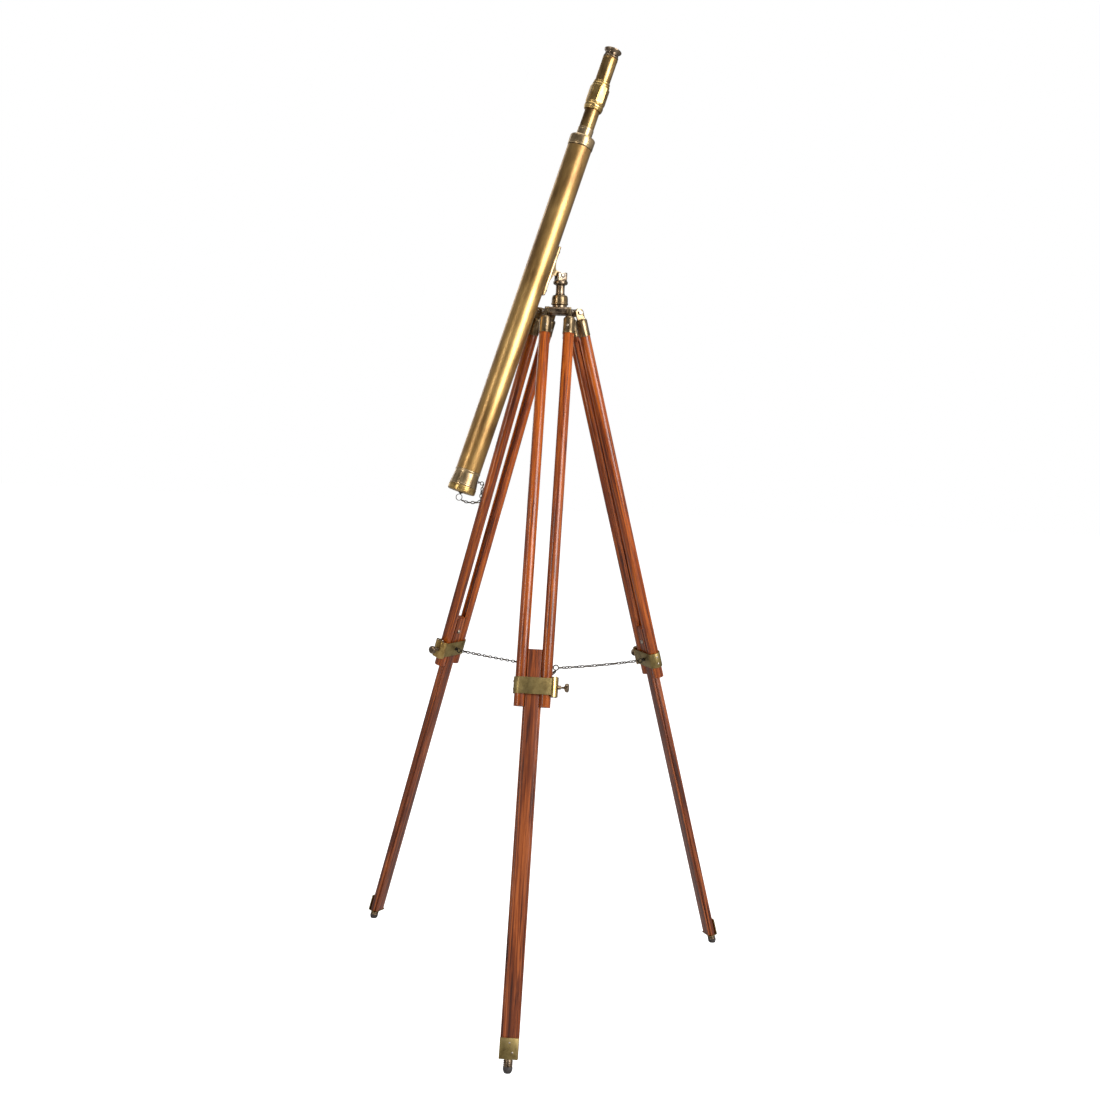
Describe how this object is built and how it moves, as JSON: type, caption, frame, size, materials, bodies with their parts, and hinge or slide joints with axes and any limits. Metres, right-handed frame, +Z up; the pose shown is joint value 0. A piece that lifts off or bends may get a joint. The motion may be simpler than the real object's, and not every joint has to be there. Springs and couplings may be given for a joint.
{
  "type": "telescope on tripod",
  "caption": "Brass refracting telescope with a lens cap and focusing draw tube, tilting on a tall wooden tripod with sliding lower legs and spreader chains.",
  "frame": {"origin": "centre of the bounding box's bottom face, on the floor that the three feet stand on", "axes": "+Z up, the longest extent; the front leg points along -Y; the telescope's objective leans down between the front leg and the left leg"},
  "size_m": [0.8344, 0.7316, 1.9975],
  "materials": {
    "brass": "polished brass with a light age tone",
    "pale_brass": "pale nickel-toned brass, polished",
    "bronze": "dark bronze-toned cast brass, satin",
    "band_brass": "olive-brown aged brass, satin",
    "steel": "warm grey plated steel",
    "rod_wood": "glossy orange-red-brown lacquer",
    "leg_wood": "satin dark red-brown stain with lengthwise grain",
    "glass": "clear polished lens"
  },
  "bodies": {
    "head": {"hub": "bronze", "chain_ring": "steel", "chain_front": "steel", "chain_left": "steel", "chain_right": "steel"},
    "pan": {"pan_post": "bronze", "tilt_screw": "steel"},
    "telescope": {"cradle": "bronze", "cradle_screw_upper": "steel", "cradle_screw_lower": "steel", "main_tube": "brass", "rear_collar": "brass", "objective_sleeve": "pale_brass", "objective_lens": "glass", "draw_bush": "pale_brass", "sleeve_eye": "pale_brass", "cap_chain": "pale_brass"},
    "cap": {"lens_cap": "brass", "cap_ring": "pale_brass"},
    "draw": {"draw_tube": "brass", "focus_sleeve": "brass"},
    "eyepiece": {"eyepiece_tube": "brass", "eye_cup": "bronze", "eye_lens": "glass"},
    "leg_front": {"ferrule_a_front": "bronze", "ferrule_b_front": "bronze", "hinge_bolt_front": "steel", "rod_a_front": "rod_wood", "rod_b_front": "rod_wood", "band_front": "band_brass", "chain_eye_front": "steel"},
    "lower_leg_front": {"lower_leg_front": "leg_wood", "stop_screw_front": "steel", "foot_plate_front": "band_brass", "foot_front": "bronze"},
    "thumbscrew_front": {"thumbscrew_front": "steel"},
    "leg_left": {"ferrule_a_left": "bronze", "ferrule_b_left": "bronze", "hinge_bolt_left": "steel", "rod_a_left": "rod_wood", "rod_b_left": "rod_wood", "band_left": "band_brass", "chain_eye_left": "steel"},
    "lower_leg_left": {"lower_leg_left": "leg_wood", "stop_screw_left": "steel", "foot_plate_left": "band_brass", "foot_left": "bronze"},
    "thumbscrew_left": {"thumbscrew_left": "steel"},
    "leg_right": {"ferrule_a_right": "bronze", "ferrule_b_right": "bronze", "hinge_bolt_right": "steel", "rod_a_right": "rod_wood", "rod_b_right": "rod_wood", "band_right": "band_brass", "chain_eye_right": "steel"},
    "lower_leg_right": {"lower_leg_right": "leg_wood", "stop_screw_right": "steel", "foot_plate_right": "band_brass", "foot_right": "bronze"},
    "thumbscrew_right": {"thumbscrew_right": "steel"}
  },
  "joints": [
    {"name": "pan", "type": "hinge", "parent": "head", "child": "pan", "pos_m": [0, 0.11463, 1.4775], "axis": [0, 0, 1], "continuous": true},
    {"name": "tilt", "type": "hinge", "parent": "pan", "child": "telescope", "pos_m": [0, 0.11463, 1.518], "axis": [-0.5, 0.866, 0], "range_deg": [0, 130]},
    {"name": "draw_slide", "type": "slide", "parent": "telescope", "child": "draw", "axis": [0.2719, 0.157, 0.9494], "range_m": [-0.038, 0.055]},
    {"name": "eyepiece_slide", "type": "slide", "parent": "draw", "child": "eyepiece", "axis": [0.2719, 0.157, 0.9494], "range_m": [-0.012, 0.018]},
    {"name": "cap_slide", "type": "slide", "parent": "telescope", "child": "cap", "axis": [-0.2719, -0.157, -0.9494], "range_m": [0, 0.04], "deforming": ["cap_chain"]},
    {"name": "leg_hinge_front", "type": "hinge", "parent": "head", "child": "leg_front", "pos_m": [0, 0.07943, 1.442], "axis": [1, 0, 0], "range_deg": [0, 15.5], "deforming": ["chain_front"]},
    {"name": "leg_length_front", "type": "slide", "parent": "leg_front", "child": "lower_leg_front", "axis": [0, -0.287, -0.9579], "range_m": [-0.6, 0.018]},
    {"name": "thumbscrew_turn_front", "type": "hinge", "parent": "leg_front", "child": "thumbscrew_front", "pos_m": [0.05, -0.14517, 0.69242], "axis": [1, 0, 0], "range_deg": [0, 360]},
    {"name": "leg_hinge_left", "type": "hinge", "parent": "head", "child": "leg_left", "pos_m": [-0.03048, 0.13223, 1.442], "axis": [-0.5, -0.866, 0], "range_deg": [0, 15.5], "deforming": ["chain_left"]},
    {"name": "leg_length_left", "type": "slide", "parent": "leg_left", "child": "lower_leg_left", "axis": [-0.2486, 0.1435, -0.9579], "range_m": [-0.6, 0.018]},
    {"name": "thumbscrew_turn_left", "type": "hinge", "parent": "leg_left", "child": "thumbscrew_left", "pos_m": [-0.24999, 0.20123, 0.69242], "axis": [-0.5, -0.866, 0], "range_deg": [0, 360]},
    {"name": "leg_hinge_right", "type": "hinge", "parent": "head", "child": "leg_right", "pos_m": [0.03048, 0.13223, 1.442], "axis": [-0.5, 0.866, 0], "range_deg": [0, 15.5], "deforming": ["chain_right"]},
    {"name": "leg_length_right", "type": "slide", "parent": "leg_right", "child": "lower_leg_right", "axis": [0.2486, 0.1435, -0.9579], "range_m": [-0.6, 0.018]},
    {"name": "thumbscrew_turn_right", "type": "hinge", "parent": "leg_right", "child": "thumbscrew_right", "pos_m": [0.19999, 0.28783, 0.69242], "axis": [-0.5, 0.866, 0], "range_deg": [0, 360]}
  ]
}
